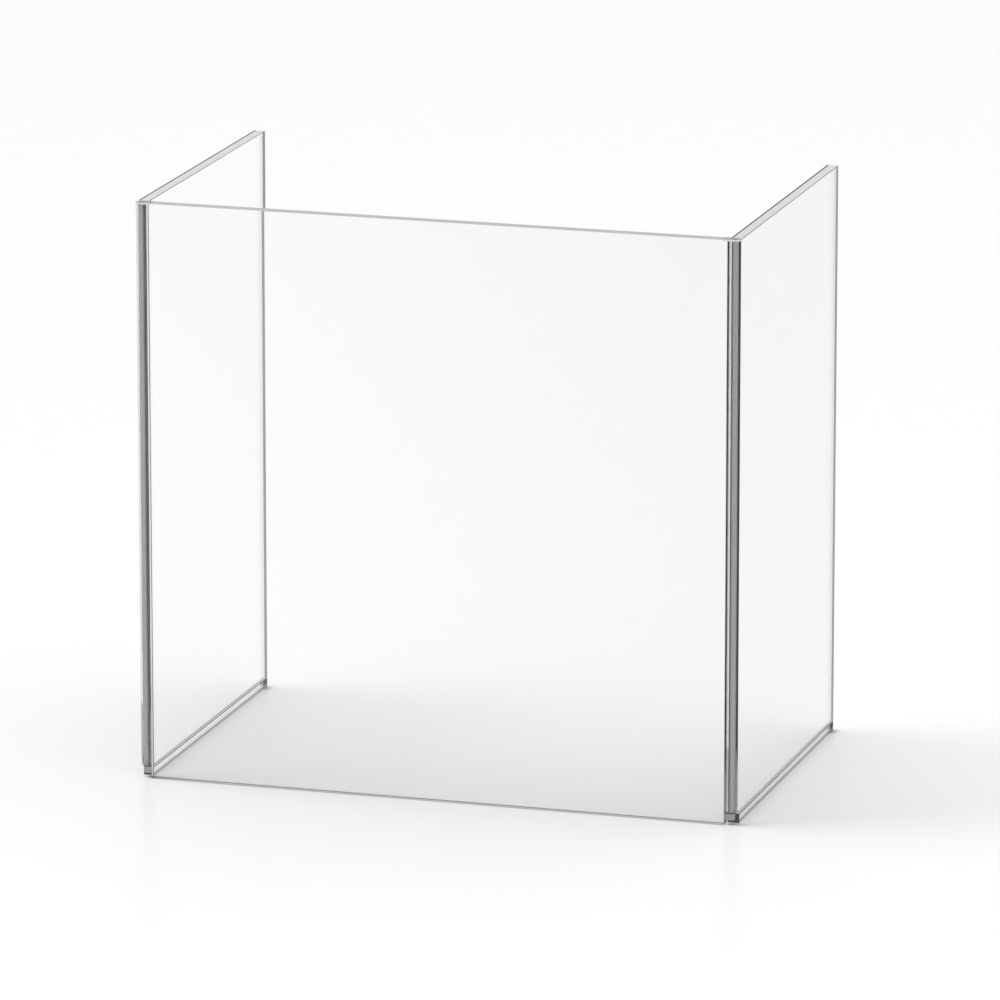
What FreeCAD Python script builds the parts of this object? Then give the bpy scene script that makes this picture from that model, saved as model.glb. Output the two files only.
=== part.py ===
import FreeCAD, Part
import os
from math import pi

import Sketcher

# A three-sided table-top sneeze guard in clear acrylic: one front panel and two wings.
# Each wing swings on a full-height steel pin at its front corner.
# Millimetres, +Z up. The origin is on the table, at the middle of the footprint. The front
# face looks along -Y, the wings run back along +Y, and the left wing is on the -X side.

SIZES = {
    "guard_width": 526,  # outside of one wing to outside of the other
    "guard_height": 500,
    "guard_depth": 320,  # front face to the rear ends of the wings
    "panel_thick": 10,
    "panel_arris": 0.6,  # radius of the polished edges
    "running_gap": 0.3,  # between pieces that move past each other
    "bond_line": 0.05,  # clear adhesive between bonded pieces
    "glide_height": 8,  # the strip that a wing stands on
    "pad_length": 12,  # the pad at the rear of the glide strip
    "pad_height": 5,
    "pin_diameter": 4,
    "pin_clearance": 0.1,  # round the pin in its bearings on each side, and under its end
    "pin_chamfer": 0.4,
    "bracket_lift": 4,  # from the table to the underside of the bracket
    "bracket_height": 6,
    "bracket_width": 6,
    "bracket_floor": 1.5,  # metal left under the blind hole that the pin turns in
    "bracket_chamfer": 0.4,
    "washer_diameter": 6.5,
    "washer_thick": 1,
    "washer_gap": 0.15,  # between the washer and the barrel that turns on it
    "plate_thick": 1.2,
    "plate_reach": 4,  # how far the top plate is let into the front panel
    "overcut": 1,  # how far a cutting outline runs past the block
}

# Lengths used in more than one place, as formulas on the sizes.
NOSE_RADIUS = "$panel_thick / 2"
FRONT_PANEL_WIDTH = "($guard_width - 2 * ($panel_thick + $running_gap))"
WING_LENGTH = "($guard_depth - $panel_thick - $running_gap)"
WING_FRONT = f"$guard_depth / 2 - {WING_LENGTH}"
PIN_X = "($guard_width - $panel_thick) / 2"
PIN_Y = "($panel_thick - $guard_depth) / 2"
PANEL_END = "($panel_thick / 2 + $running_gap)"
BRACKET_TOP = "($bracket_lift + $bracket_height)"
BARREL_START = f"({BRACKET_TOP} + $washer_thick + $washer_gap)"

LEVEL = 0.01  # an edge with less rise than this is level

doc = FreeCAD.newDocument("sneeze_guard")
sheet = doc.addObject("Spreadsheet::Sheet", "sizes")
for row, (name, value) in enumerate(SIZES.items(), start=1):
    sheet.set(f"A{row}", name)
    sheet.set(f"B{row}", str(value))
    sheet.setAlias(f"B{row}", name)
doc.recompute()


def bind(target, path, formula):
    """Bind a property or constraint to a formula, in which $name is a size on the sheet."""
    target.setExpression(path, formula.replace("$", "sizes."))


def make_body(name, x, y, z, turn=0):
    """An empty body named after its sub-part, at a place given by formulas, turned about Z."""
    body = doc.addObject("PartDesign::Body", name)
    body.Label = name
    body.Placement.Rotation = FreeCAD.Rotation(FreeCAD.Vector(0, 0, 1), turn)
    bind(body, "Placement.Base.x", x)
    bind(body, "Placement.Base.y", y)
    bind(body, "Placement.Base.z", z)
    return body


def plan_sketch(body, name, height="0"):
    """A sketch seen from above, on the body's own XY plane or at a height over it."""
    sketch = body.newObject("Sketcher::SketchObject", f"{body.Name}_{name}")
    plane = next(f for f in body.Origin.OriginFeatures if f.Role == "XY_Plane")
    sketch.AttachmentSupport = [(plane, "")]
    sketch.MapMode = "FlatFace"
    bind(sketch, "AttachmentOffset.Base.z", height)
    return sketch


def hold(sketch, formula, kind, *where):
    """Add a dimension to the sketch and bind it to the formula."""
    number = sketch.addConstraint(Sketcher.Constraint(kind, *where, 1))
    bind(sketch, f"Constraints[{number}]", formula)


def draw_circle(sketch, diameter):
    """A circle about the sketch's origin."""
    ring = sketch.addGeometry(Part.Circle(FreeCAD.Vector(), FreeCAD.Vector(0, 0, 1), 1))
    sketch.addConstraint(Sketcher.Constraint("Coincident", ring, 3, -1, 1))
    hold(sketch, diameter, "Diameter", ring)


def draw_steps(sketch, points):
    """Level and upright lines from point to point; returns their indices. The points only
    start the sketch off: its dimensions set the real places."""
    lines = []
    for start, end in zip(points, points[1:]):
        ends = [FreeCAD.Vector(*point, 0) for point in (start, end)]
        lines.append(sketch.addGeometry(Part.LineSegment(*ends)))
        way = "Horizontal" if start[1] == end[1] else "Vertical"
        sketch.addConstraint(Sketcher.Constraint(way, lines[-1]))
    for first, second in zip(lines, lines[1:]):
        sketch.addConstraint(Sketcher.Constraint("Coincident", first, 2, second, 1))
    return lines


def draw_rectangle(sketch, width, depth):
    """A rectangle from the sketch's origin, along +X and +Y."""
    lines = draw_steps(sketch, [(0, 0), (1, 0), (1, 1), (0, 1), (0, 0)])
    sketch.addConstraint(Sketcher.Constraint("Coincident", lines[3], 2, lines[0], 1))
    sketch.addConstraint(Sketcher.Constraint("Coincident", lines[0], 1, -1, 1))
    hold(sketch, width, "DistanceX", lines[0], 1, lines[0], 2)
    hold(sketch, depth, "DistanceY", lines[1], 1, lines[1], 2)


def draw_bullet(sketch, radius, reach):
    """Half a circle about the sketch's origin, carried on along +Y by straight sides."""
    ring = Part.Circle(FreeCAD.Vector(), FreeCAD.Vector(0, 0, 1), 3)
    arc = sketch.addGeometry(Part.ArcOfCircle(ring, pi, 2 * pi))
    sketch.addConstraint(Sketcher.Constraint("Coincident", arc, 3, -1, 1))
    hold(sketch, radius, "Radius", arc)
    lines = draw_steps(sketch, [(3, 0), (3, 6), (-3, 6), (-3, 0)])
    sketch.addConstraint(Sketcher.Constraint("Coincident", arc, 2, lines[0], 1))
    sketch.addConstraint(Sketcher.Constraint("Coincident", arc, 1, lines[2], 2))
    sketch.addConstraint(Sketcher.Constraint("PointOnObject", arc, 1, -1))
    sketch.addConstraint(Sketcher.Constraint("PointOnObject", arc, 2, -1))
    hold(sketch, reach, "DistanceY", lines[0], 1, lines[0], 2)


def pad(sketch, height):
    """Raise the sketch by a height; the body's tip is then this pad."""
    feature = sketch.getParentGeoFeatureGroup().newObject("PartDesign::Pad", f"{sketch.Name}_pad")
    feature.Profile = sketch
    bind(feature, "Length", height)
    doc.recompute()


def cut(sketch, depth):
    """Cut down from the sketch by a depth."""
    body = sketch.getParentGeoFeatureGroup()
    before = body.Shape.Volume
    feature = body.newObject("PartDesign::Pocket", f"{sketch.Name}_cut")
    feature.Profile = sketch
    bind(feature, "Length", depth)
    doc.recompute()
    assert body.Shape.Volume < before, f"{sketch.Name} cuts nothing"


def soften(body, kind, size_property, size, chosen):
    """Fillet or chamfer those of the tip's edges that the test chooses."""
    base = body.Tip
    names = [f"Edge{i}" for i, edge in enumerate(base.Shape.Edges, 1) if chosen(edge)]
    feature = body.newObject(f"PartDesign::{kind}", f"{body.Name}_{kind.lower()}")
    feature.Base = (base, names)
    bind(feature, size_property, size)
    doc.recompute()


def is_level(edge):
    """True for an edge in a level plane."""
    return edge.BoundBox.ZLength < LEVEL


def is_rim(edge):
    """True for a circle, and not for the seam between two of them."""
    return edge.Curve.TypeId == "Part::GeomCircle"


def is_behind_front(edge):
    """True unless the edge lies in the body's own front face."""
    return edge.BoundBox.YMax > LEVEL


def make_block(name, x, y, z, width, depth, height, chosen=lambda edge: True):
    """A straight block with its chosen edges polished round; x, y and z are its lowest corner."""
    body = make_body(name, x, y, z)
    outline = plan_sketch(body, "outline")
    draw_rectangle(outline, width, depth)
    pad(outline, height)
    soften(body, "Fillet", "Radius", "$panel_arris", chosen)
    return body


def cut_rebate(body, name, x, y, width, depth, top, deep):
    """Cut a rectangular step down from the top of a block; x and y are its lowest corner."""
    step = plan_sketch(body, name, top)
    bind(step, "AttachmentOffset.Base.x", x)
    bind(step, "AttachmentOffset.Base.y", y)
    draw_rectangle(step, width, depth)
    cut(step, deep)


def make_front_panel():
    """The front panel. A step at each end of its top edge takes a top plate."""
    body = make_block("front_panel", f"-{FRONT_PANEL_WIDTH} / 2", "-$guard_depth / 2", "0",
                      FRONT_PANEL_WIDTH, "$panel_thick", "$guard_height")
    step = "($plate_reach + $bond_line)"
    for name, x in (("left_step", "-$overcut"), ("right_step", f"{FRONT_PANEL_WIDTH} - {step}")):
        cut_rebate(body, name, x, "-$overcut", f"{step} + $overcut",
                   "$panel_thick + 2 * $overcut", "$guard_height", "$plate_thick + $bond_line")


def wing_left_edge(sign):
    """The lower X of a wing, on the right for sign 1 and on the left for -1."""
    return "$guard_width / 2 - $panel_thick" if sign > 0 else "-$guard_width / 2"


def make_wing_panel(side, sign):
    """A wing panel, from just behind the hinge barrel to the rear. It stands on the glide
    strip, and its front end is left square, because the barrel is bonded to it."""
    base = "($glide_height + $bond_line)"
    make_block(f"{side}_wing_panel", wing_left_edge(sign), WING_FRONT, base, "$panel_thick",
               WING_LENGTH, f"$guard_height - {base}", is_behind_front)


def make_glide_strip(side, sign):
    """The clear strip that the wing stands and slides on, with a step for the rear pad."""
    body = make_block(f"{side}_glide_strip", wing_left_edge(sign), WING_FRONT, "0",
                      "$panel_thick", WING_LENGTH, "$glide_height")
    step = "($pad_length + $bond_line)"
    cut_rebate(body, "rear_step", "-$overcut", f"{WING_LENGTH} - {step}",
               "$panel_thick + 2 * $overcut", f"{step} + $overcut", "$glide_height",
               "$pad_height + $bond_line")


def make_rear_pad(side, sign):
    """The black pad let into the rear of the glide strip."""
    make_block(f"{side}_rear_pad", wing_left_edge(sign), "$guard_depth / 2 - $pad_length",
               "$glide_height - $pad_height", "$panel_thick", "$pad_length", "$pad_height")


def make_bullet(name, sign, z, turn, radius, reach, height, bore=None):
    """A bullet-shaped plate or profile about the pin's axis, with or without a through bore."""
    body = make_body(name, f"{sign} * {PIN_X}", PIN_Y, z, turn)
    outline = plan_sketch(body, "outline")
    draw_bullet(outline, radius, reach)
    if bore:
        draw_circle(outline, bore)
    pad(outline, height)
    return body


def make_barrel(side, sign):
    """The clear profile bonded to the front end of a wing, round the pin. Its round nose
    clears the front panel at every angle."""
    make_bullet(f"{side}_hinge_barrel", sign, BARREL_START, 0, NOSE_RADIUS,
                f"{PANEL_END} - $bond_line",
                f"$guard_height - $plate_thick - $running_gap - {BARREL_START}",
                "$pin_diameter + 2 * $bond_line")


def make_bracket(side, sign):
    """The steel bracket bonded to the front panel's end, low down. The pin turns in it."""
    body = make_bullet(f"{side}_hinge_bracket", sign, "$bracket_lift", 90 * sign,
                       "$bracket_width / 2", f"{PANEL_END} - $bond_line", "$bracket_height")
    soften(body, "Chamfer", "Size", "$bracket_chamfer", is_level)
    mouth = plan_sketch(body, "mouth", "$bracket_height")
    draw_circle(mouth, "$pin_diameter + 2 * $pin_clearance")
    cut(mouth, "$bracket_height - $bracket_floor")


def make_top_plate(side, sign):
    """The steel plate let into the top of the front panel. The pin's top turns in it."""
    make_bullet(f"{side}_hinge_top_plate", sign, "$guard_height - $plate_thick", 90 * sign,
                NOSE_RADIUS, f"{PANEL_END} + $plate_reach", "$plate_thick",
                "$pin_diameter + 2 * $pin_clearance")


def make_pin(side, sign):
    """The full-height steel pin bonded in the barrel, from bracket to top plate."""
    base = "($bracket_lift + $bracket_floor + $pin_clearance)"
    body = make_body(f"{side}_hinge_pin", f"{sign} * {PIN_X}", PIN_Y, base)
    section = plan_sketch(body, "section")
    draw_circle(section, "$pin_diameter")
    pad(section, f"$guard_height - {base}")
    soften(body, "Chamfer", "Size", "$pin_chamfer", is_rim)


def make_washer(side, sign):
    """The nylon washer on the bracket, which the barrel turns on."""
    body = make_body(f"{side}_hinge_washer", f"{sign} * {PIN_X}", PIN_Y, BRACKET_TOP)
    ring = plan_sketch(body, "ring")
    draw_circle(ring, "$washer_diameter")
    draw_circle(ring, "$pin_diameter + 2 * $pin_clearance")
    pad(ring, "$washer_thick")


def check_and_write():
    """Stop if anything failed; otherwise write each sub-part to its own file."""
    doc.recompute()
    failed = [o.Name for o in doc.Objects if "Invalid" in o.State or "Error" in o.State]
    assert not failed, f"failed: {failed}"
    os.makedirs("parts", exist_ok=True)
    for body in doc.findObjects("PartDesign::Body"):
        shape = body.Shape
        assert not shape.isNull() and shape.isValid() and len(shape.Solids) == 1, body.Label
        shape.exportStep(f"parts/{body.Label}.step")
        box = shape.BoundBox
        print(f"{body.Label}: {shape.Volume / 1000:.2f} cm3, x {box.XMin:.2f} to {box.XMax:.2f},"
              f" y {box.YMin:.2f} to {box.YMax:.2f}, z {box.ZMin:.2f} to {box.ZMax:.2f}")


make_front_panel()
for side, sign in (("left", -1), ("right", 1)):
    make_wing_panel(side, sign)
    make_glide_strip(side, sign)
    make_rear_pad(side, sign)
    make_barrel(side, sign)
    make_pin(side, sign)
    make_bracket(side, sign)
    make_washer(side, sign)
    make_top_plate(side, sign)
check_and_write()
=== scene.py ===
from math import cos, radians, sin

import bpy
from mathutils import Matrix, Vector


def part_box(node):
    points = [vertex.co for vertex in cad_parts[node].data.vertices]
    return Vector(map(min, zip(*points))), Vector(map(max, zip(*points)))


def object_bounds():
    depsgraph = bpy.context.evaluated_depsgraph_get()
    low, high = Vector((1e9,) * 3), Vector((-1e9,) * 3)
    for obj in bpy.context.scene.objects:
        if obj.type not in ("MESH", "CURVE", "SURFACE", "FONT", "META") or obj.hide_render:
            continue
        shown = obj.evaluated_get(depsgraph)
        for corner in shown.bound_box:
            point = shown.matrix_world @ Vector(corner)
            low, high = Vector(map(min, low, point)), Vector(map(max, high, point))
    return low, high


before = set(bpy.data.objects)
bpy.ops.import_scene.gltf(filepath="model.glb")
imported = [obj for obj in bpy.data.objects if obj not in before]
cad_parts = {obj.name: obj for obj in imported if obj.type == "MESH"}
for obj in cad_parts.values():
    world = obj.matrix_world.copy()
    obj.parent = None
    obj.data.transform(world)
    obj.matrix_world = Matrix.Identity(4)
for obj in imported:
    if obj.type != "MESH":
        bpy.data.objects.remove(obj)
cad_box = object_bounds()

# The sneeze guard on a white table in a grey room lit from the left. Metres, in the frame's own
# axes: the front panel faces -Y, +Z is up, and the origin is on the table. The camera and the table
# are measured in guard heights, and the masks on the acrylic take their places from the pieces'
# boxes, so that they follow the frame.

HEIGHT = cad_box[1][2] - cad_box[0][2]
ACRYLIC_IOR = 1.49
MILLIMETRE = 0.001

# The camera, a long lens a good way off.
LOOK_AT = Vector((0.018, 0.0, 0.450)) * HEIGHT
CAMERA_AZIMUTH = 16.8
CAMERA_ELEVATION = 13.79
CAMERA_DISTANCE = 15.175 * HEIGHT
SENSOR = 36
LENS = 320

# The pin's axis and the seam between barrel and wing on the right. The masks fold the left half onto
# the right and -Y onto +Y, so the Y here is the distance from the middle.
pin_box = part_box("right_hinge_pin")
barrel_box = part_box("right_hinge_barrel")
wing_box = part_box("right_wing_panel")
PIN = Vector(((pin_box[0][0] + pin_box[1][0]) / 2, -(pin_box[0][1] + pin_box[1][1]) / 2, 0))
PIN_RADIUS = (pin_box[1][0] - pin_box[0][0]) / 2
SEAM = Vector((0, -(barrel_box[1][1] + wing_box[0][1]) / 2, (barrel_box[0][2] + barrel_box[1][2]) / 2))
SEAM_HALF = (barrel_box[1][2] - barrel_box[0][2]) / 2
SEAM_REACH = 0.1 * MILLIMETRE  # takes in the faces on both sides of the seam
BORE_REACH = 0.5 * MILLIMETRE  # takes in the bore, a little outside the pin
WING_HALF = (wing_box[1][0] - wing_box[0][0]) / 2
# Painted shade: this strip along a wing's top edge is painted dark as a line.
PAINTED_SHADE_RIM = 1.8 * MILLIMETRE  # the unfrosted strip on a wing's top edge

# How squarely a face looks along an axis, from 0 to 1, tells the broad, narrow and rounded faces.
SQUARE = 0.9
ROUNDED = 0.97
UPWARD = 0.5
DOWNWARD = -0.2

# The share of light that passes one acrylic surface: seen at the left and right ends, and by a lamp.
# The greyer right end is painted shade, standing in for the light falling off towards the right.
LEFT_PAINTED_SHADE = 0.992
RIGHT_PAINTED_SHADE = 0.960
LIT_THROUGH = 0.88


def new_material(name):
    """An empty node material, as (material, tree, output node)."""
    material = bpy.data.materials.new(name)
    material.use_nodes = True
    tree = material.node_tree
    tree.nodes.clear()
    return material, tree, tree.nodes.new("ShaderNodeOutputMaterial")


def add(tree, kind, values=(), **links):
    """A node of this kind, with values set on named or numbered inputs and links made to named ones."""
    node = tree.nodes.new(f"ShaderNode{kind}")
    for name, value in dict(values).items():
        node.inputs[name].default_value = value
    for name, source in links.items():
        tree.links.new(source, node.inputs[name.replace("_", " ")])
    return node


def marks(tree, stretch, scale, detail=3):
    """Noise in the piece's own space, stretched along the axes by the given amounts."""
    place = add(tree, "TexCoord").outputs["Object"]
    mapping = add(tree, "Mapping", Vector=place)
    mapping.inputs["Scale"].default_value = stretch
    values = {"Scale": scale, "Detail": detail, "Roughness": 0.6}
    return add(tree, "TexNoise", values, Vector=mapping.outputs["Vector"]).outputs["Fac"]


def spread(tree, source, low, high, start=0.0, end=1.0):
    """The source stretched from the range start to end onto low to high."""
    values = {"From Min": start, "From Max": end, "To Min": low, "To Max": high}
    return add(tree, "MapRange", values, Value=source).outputs["Result"]


def worked(tree, operation, *operands):
    """The result of a Math node. Each operand is a number or another node's output."""
    node = add(tree, "Math")
    node.operation = operation
    for socket, operand in zip(node.inputs, operands):
        if isinstance(operand, float):
            socket.default_value = operand
        else:
            tree.links.new(operand, socket)
    return node.outputs[0]


def coordinate(tree, kind, axis):
    """One axis of the piece's own Object position or Normal."""
    return add(tree, "SeparateXYZ", Vector=add(tree, "TexCoord").outputs[kind]).outputs[axis]


def squareness(tree, axis):
    """How squarely the face looks along this axis, either way."""
    return worked(tree, "ABSOLUTE", coordinate(tree, "Normal", axis))


def mixed(tree, factor, first, second):
    """The first shader where the factor is 0 and the second where it is 1."""
    mix = add(tree, "MixShader")
    for socket, source in enumerate((factor, first, second)):
        tree.links.new(source, mix.inputs[socket])
    return mix.outputs[0]


def distance_from(tree, centre, keep):
    """The distance from a point in the piece's own space, along the kept axes only. The left half
    counts as the mirror image of the right."""
    place = add(tree, "TexCoord").outputs["Object"]
    folded = add(tree, "VectorMath", Vector=place)
    folded.operation = "ABSOLUTE"
    offset = add(tree, "VectorMath", {1: centre}, Vector=folded.outputs[0])
    offset.operation = "SUBTRACT"
    kept = add(tree, "VectorMath", {1: keep}, Vector=offset.outputs[0])
    kept.operation = "MULTIPLY"
    length = add(tree, "VectorMath", Vector=kept.outputs[0])
    length.operation = "LENGTH"
    return length.outputs["Value"]


def on_painted_shade_rim(tree):
    """The mask of a wing's -X side, where its top edge stays unfrosted and is painted dark as a line of
    shade.
    """
    across = coordinate(tree, "Object", "X")
    from_middle = worked(tree, "MULTIPLY_ADD", worked(tree, "SIGN", across), -PIN.x, across)
    return worked(tree, "LESS_THAN", from_middle, PAINTED_SHADE_RIM - WING_HALF)


def on_arris(tree):
    """The mask of the rounded edges, whose normals lie well off every axis."""
    along_x, along_y, along_z = (squareness(tree, axis) for axis in "XYZ")
    largest = worked(tree, "MAXIMUM", worked(tree, "MAXIMUM", along_x, along_y), along_z)
    return worked(tree, "LESS_THAN", largest, ROUNDED)


def at_seam(tree):
    """The mask of the faces bonded together where a barrel meets its wing."""
    square = worked(tree, "GREATER_THAN", squareness(tree, "Y"), SQUARE)
    along = worked(tree, "LESS_THAN", distance_from(tree, SEAM, (0, 1, 0)), SEAM_REACH)
    beside = worked(tree, "LESS_THAN", distance_from(tree, SEAM, (0, 0, 1)), SEAM_HALF)
    return worked(tree, "MULTIPLY", square, worked(tree, "MULTIPLY", along, beside))


def on_barrel(tree):
    """The mask of a barrel's bonded faces: its seam with the wing, and its bore round the pin."""
    from_axis = distance_from(tree, PIN, (1, 1, 0))
    bore = worked(tree, "LESS_THAN", from_axis, PIN_RADIUS + BORE_REACH)
    return worked(tree, "MAXIMUM", at_seam(tree), bore)


def polished_glass(tree):
    """Polished clear acrylic, faintly rippled and hazed, with painted shade that greys it a touch towards
    the right end.
    """
    bump = add(tree, "Bump", {"Strength": 1.0, "Distance": 0.0002 * MILLIMETRE},
               Height=marks(tree, (1, 1, 1), 60))
    along = coordinate(tree, "Object", "X")
    # Painted shade: the glass is greyed a touch towards the right end, standing in for the light falling
    # off there.
    tone = spread(tree, along, LEFT_PAINTED_SHADE, RIGHT_PAINTED_SHADE, cad_box[0][0], cad_box[1][0])
    haze = spread(tree, marks(tree, (1, 1, 1), 240, 5), 0.0, 0.010, 0.45, 0.8)
    body = add(tree, "BsdfGlass", {"IOR": ACRYLIC_IOR}, Color=tone, Roughness=haze,
               Normal=bump.outputs["Normal"])
    return body.outputs[0]


def satin_edge_and_painted_shade(tree, through, mirrored, frost):
    """A satin acrylic edge. Light passes out through it in one tone and is mirrored back inside in
    another, and the frost, from 0 to 1, scatters some of it. Tones well below 1 are painted shade,
    which draws the edge as a dark line."""
    grain = marks(tree, (1, 1, 1), 300, 4)
    bump = add(tree, "Bump", {"Strength": 1.0, "Distance": 0.001 * MILLIMETRE}, Height=grain)
    rough = spread(tree, grain, 0.08, 0.18)
    passed = add(tree, "BsdfRefraction", {"IOR": ACRYLIC_IOR, "Color": (through, through, through, 1)},
                 Roughness=rough, Normal=bump.outputs["Normal"])
    # Painted shade: the mirrored tone dims the light turned back inside the edge, which draws it as a dark
    # line.
    painted_shade_mirror = add(tree, "BsdfAnisotropic", {"Color": (mirrored, mirrored, mirrored, 1)},
                 Roughness=rough, Normal=bump.outputs["Normal"])
    share = add(tree, "Fresnel", {"IOR": ACRYLIC_IOR}, Normal=bump.outputs["Normal"]).outputs[0]
    clear = mixed(tree, share, passed.outputs[0], painted_shade_mirror.outputs[0])
    if not frost:
        return clear
    scattered = add(tree, "BsdfDiffuse", {"Color": (0.92, 0.92, 0.92, 1)})
    frosting = spread(tree, grain, frost * 0.85, frost * 1.15)
    return mixed(tree, frosting, clear, scattered.outputs[0])


def clear_acrylic(name, broad_axis, edges, bonded=None):
    """Clear cast acrylic. The broad faces, which look along the broad axis, are polished. edges
    gives satin_edge_and_painted_shade's tones and frost for the sides, top, arris, rim and foot that a
    piece has, where tones well below 1 are painted shade that draws dark edge lines, and bonded the
    function that masks its faces bonded to another piece, which vanish. Lamps shine through all of it, a
    little dimmed."""
    material, tree, output = new_material(name)
    surface = polished_glass(tree)
    masks = {}
    if "sides" in edges:
        masks["sides"] = worked(tree, "LESS_THAN", squareness(tree, broad_axis), SQUARE)
    upwards = coordinate(tree, "Normal", "Z")
    masks["top"] = worked(tree, "GREATER_THAN", upwards, UPWARD)
    if "arris" in edges:
        masks["arris"] = on_arris(tree)
    if "rim" in edges:
        masks["rim"] = worked(tree, "MULTIPLY", masks["top"], on_painted_shade_rim(tree))
    masks["foot"] = worked(tree, "LESS_THAN", upwards, DOWNWARD)
    for edge, mask in masks.items():
        surface = mixed(tree, mask, surface, satin_edge_and_painted_shade(tree, *edges[edge]))
    if bonded:
        through = add(tree, "BsdfTransparent", {"Color": (1, 1, 1, 1)})
        surface = mixed(tree, bonded(tree), surface, through.outputs[0])
    lit = add(tree, "BsdfTransparent", {"Color": (LIT_THROUGH, LIT_THROUGH, LIT_THROUGH, 1)})
    shadow = add(tree, "LightPath").outputs["Is Shadow Ray"]
    tree.links.new(mixed(tree, shadow, surface, lit.outputs[0]), output.inputs["Surface"])
    return material


def steel(name, stretch, tone, roughness):
    """Stainless steel, with fine machining marks that follow the stretch."""
    material, tree, output = new_material(name)
    lines = marks(tree, stretch, 900, 4)
    metal = add(tree, "BsdfPrincipled", {"Metallic": 1.0, "Anisotropic": 0.4})
    ramp = add(tree, "ValToRGB", Fac=lines)
    ramp.color_ramp.elements[0].color = (tone * 0.8, tone * 0.8, tone * 0.8, 1)
    ramp.color_ramp.elements[1].color = (tone, tone * 0.99, tone * 0.97, 1)
    tree.links.new(ramp.outputs["Color"], metal.inputs["Base Color"])
    tree.links.new(spread(tree, lines, roughness - 0.06, roughness + 0.06), metal.inputs["Roughness"])
    bump = add(tree, "Bump", {"Strength": 0.6, "Distance": 0.01 * MILLIMETRE}, Height=lines)
    tree.links.new(bump.outputs["Normal"], metal.inputs["Normal"])
    tree.links.new(metal.outputs[0], output.inputs["Surface"])
    return material


def nylon(name):
    """Black moulded nylon, a little mottled."""
    material, tree, output = new_material(name)
    grain = marks(tree, (1, 1, 1), 1500, 4)
    plastic = add(tree, "BsdfPrincipled", {"Specular IOR Level": 0.45})
    ramp = add(tree, "ValToRGB", Fac=grain)
    ramp.color_ramp.elements[0].color = (0.012, 0.012, 0.013, 1)
    ramp.color_ramp.elements[1].color = (0.030, 0.030, 0.032, 1)
    tree.links.new(ramp.outputs["Color"], plastic.inputs["Base Color"])
    tree.links.new(spread(tree, grain, 0.42, 0.58), plastic.inputs["Roughness"])
    bump = add(tree, "Bump", {"Strength": 0.5, "Distance": 0.01 * MILLIMETRE}, Height=grain)
    tree.links.new(bump.outputs["Normal"], plastic.inputs["Normal"])
    tree.links.new(plastic.outputs[0], output.inputs["Surface"])
    return material


def table_top():
    """A wide glossy white table."""
    material, tree, output = new_material("white_table")
    grain = marks(tree, (1, 1, 1), 40, 4)
    lacquer = add(tree, "BsdfPrincipled", {"Base Color": (0.93, 0.93, 0.93, 1), "Specular IOR Level": 0.3})
    tree.links.new(spread(tree, grain, 0.20, 0.26), lacquer.inputs["Roughness"])
    tree.links.new(lacquer.outputs[0], output.inputs["Surface"])
    reach = 40 * HEIGHT
    mesh = bpy.data.meshes.new("table_top")
    mesh.from_pydata([(-reach, -reach, 0), (reach, -reach, 0), (reach, reach, 0), (-reach, reach, 0)],
                     [], [(0, 1, 2, 3)])
    mesh.materials.append(material)
    top = bpy.data.objects.new("table_top", mesh)
    top.location.z = -0.05 * MILLIMETRE
    bpy.context.scene.collection.objects.link(top)


def dress(node, material):
    """Give a CAD node its material."""
    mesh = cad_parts[node].data
    mesh.materials.clear()
    mesh.materials.append(material)


def direction(azimuth, elevation):
    """The unit vector towards the object from a place at this azimuth and elevation."""
    turn, lift = radians(azimuth), radians(elevation)
    return Vector((-sin(turn) * cos(lift), cos(turn) * cos(lift), -sin(lift)))


def sun(name, azimuth, elevation, strength, softness, mirrored):
    """A distant soft light from this side; the softness is in degrees. Only a mirrored one shows in
    metal."""
    light = bpy.data.lights.new(name, "SUN")
    light.energy = strength
    light.angle = radians(softness)
    lamp = bpy.data.objects.new(name, light)
    lamp.rotation_euler = direction(azimuth, elevation).to_track_quat("-Z", "Y").to_euler()
    lamp.visible_glossy = mirrored
    lamp.visible_transmission = False
    bpy.context.scene.collection.objects.link(lamp)


def studio():
    """A grey room, a soft key light from the left and a broad fill from above."""
    world = bpy.data.worlds.new("studio")
    bpy.context.scene.world = world
    world.use_nodes = True
    room = world.node_tree.nodes["Background"]
    room.inputs["Color"].default_value = (1, 1, 1, 1)
    room.inputs["Strength"].default_value = 0.45
    sun("key", -80, 57, 2.15, 30, False)
    sun("fill", 150, 75, 0.75, 90, True)


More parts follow.
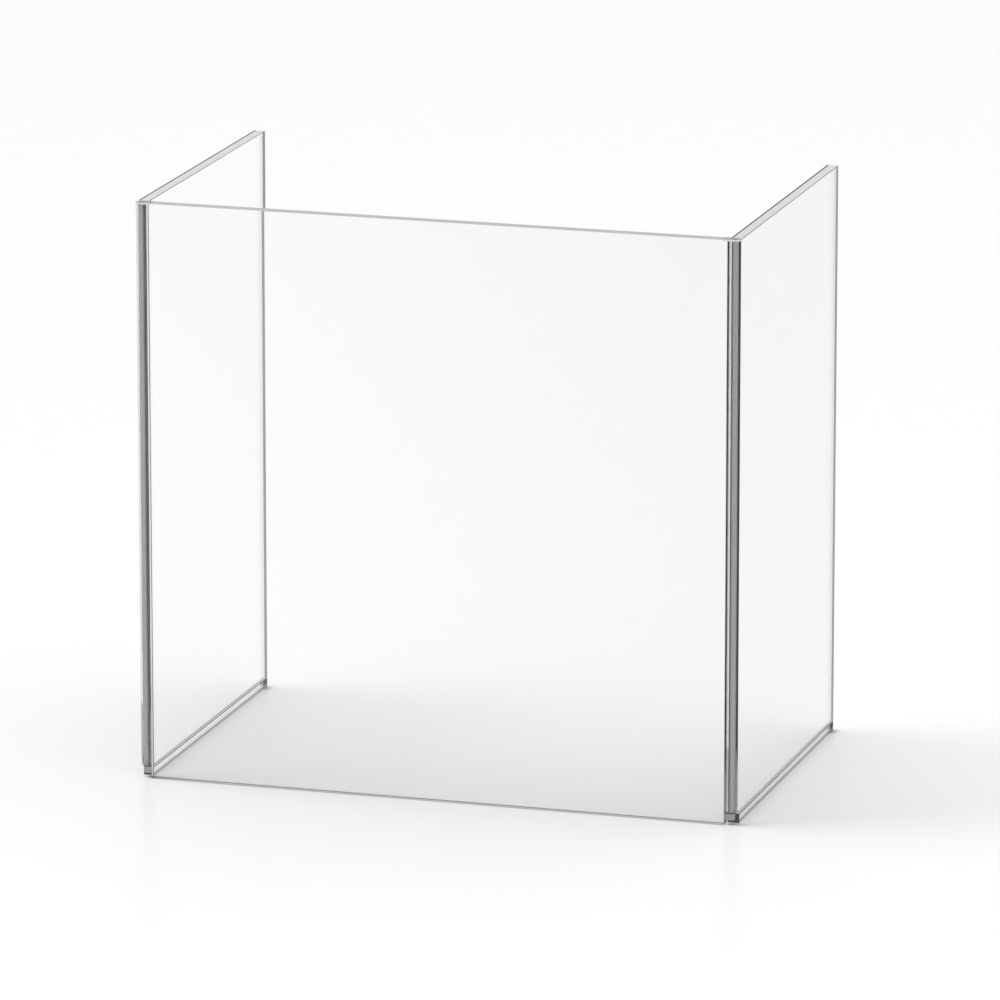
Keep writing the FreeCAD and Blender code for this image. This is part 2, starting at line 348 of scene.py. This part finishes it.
def camera():
    """The camera, from the front and a little to the right."""
    data = bpy.data.cameras.new("camera")
    data.sensor_width = SENSOR
    data.lens = LENS
    data.clip_end = 100
    eye = bpy.data.objects.new("camera", data)
    way = direction(CAMERA_AZIMUTH, CAMERA_ELEVATION)
    eye.location = LOOK_AT - way * CAMERA_DISTANCE
    eye.rotation_euler = way.to_track_quat("-Z", "Y").to_euler()
    bpy.context.scene.collection.objects.link(eye)
    bpy.context.scene.camera = eye


# For each edge: its tone for light passing out, its tone for light mirrored inside, and its frost.
# Tones well below 1, as on the feet, sides, arrises and rim, are painted shade that draws dark edge lines.
front = clear_acrylic("clear_acrylic_front", "Y", {
    "foot": (0.9, 0.08, 0.0), "sides": (0.9, 0.8, 0.1),
    "top": (0.9, 0.8, 0.4), "arris": (0.6, 0.3, 0.0)})
wing = clear_acrylic("clear_acrylic_wing", "X", {
    "foot": (0.95, 0.8, 0.1), "sides": (0.95, 0.10, 0.25),
    "top": (0.95, 0.9, 0.55), "arris": (0.9, 0.6, 0.25),
    "rim": (0.35, 0.2, 0.0)}, at_seam)
glide = clear_acrylic("clear_acrylic_glide", "X", {
    "foot": (0.9, 0.08, 0.0), "sides": (0.95, 0.4, 0.0),
    "top": (0.9, 0.8, 0.1), "arris": (0.6, 0.3, 0.0)})
barrel = clear_acrylic("clear_acrylic_barrel", None, {
    "foot": (0.9, 0.8, 0.1), "top": (0.9, 0.8, 0.5)}, on_barrel)
polished = steel("polished_steel", (0.1, 0.1, 1), 0.5, 0.38)
bracket = steel("bracket_steel", (1, 0.1, 0.1), 0.4, 0.30)
bright = steel("bright_steel", (1, 0.1, 0.1), 0.9, 0.34)
black = nylon("black_nylon")

dress("front_panel", front)
for side in ("left", "right"):
    dress(f"{side}_wing_panel", wing)
    dress(f"{side}_glide_strip", glide)
    dress(f"{side}_rear_pad", black)
    dress(f"{side}_hinge_barrel", barrel)
    dress(f"{side}_hinge_pin", polished)
    dress(f"{side}_hinge_bracket", bracket)
    dress(f"{side}_hinge_washer", black)
    dress(f"{side}_hinge_top_plate", bright)

table_top()
studio()
camera()

scene = bpy.context.scene
scene.view_settings.view_transform = "Standard"
scene.cycles.max_bounces = 32
scene.cycles.transmission_bounces = 32
scene.cycles.glossy_bounces = 16
scene.cycles.transparent_max_bounces = 32
scene.cycles.use_denoising = True
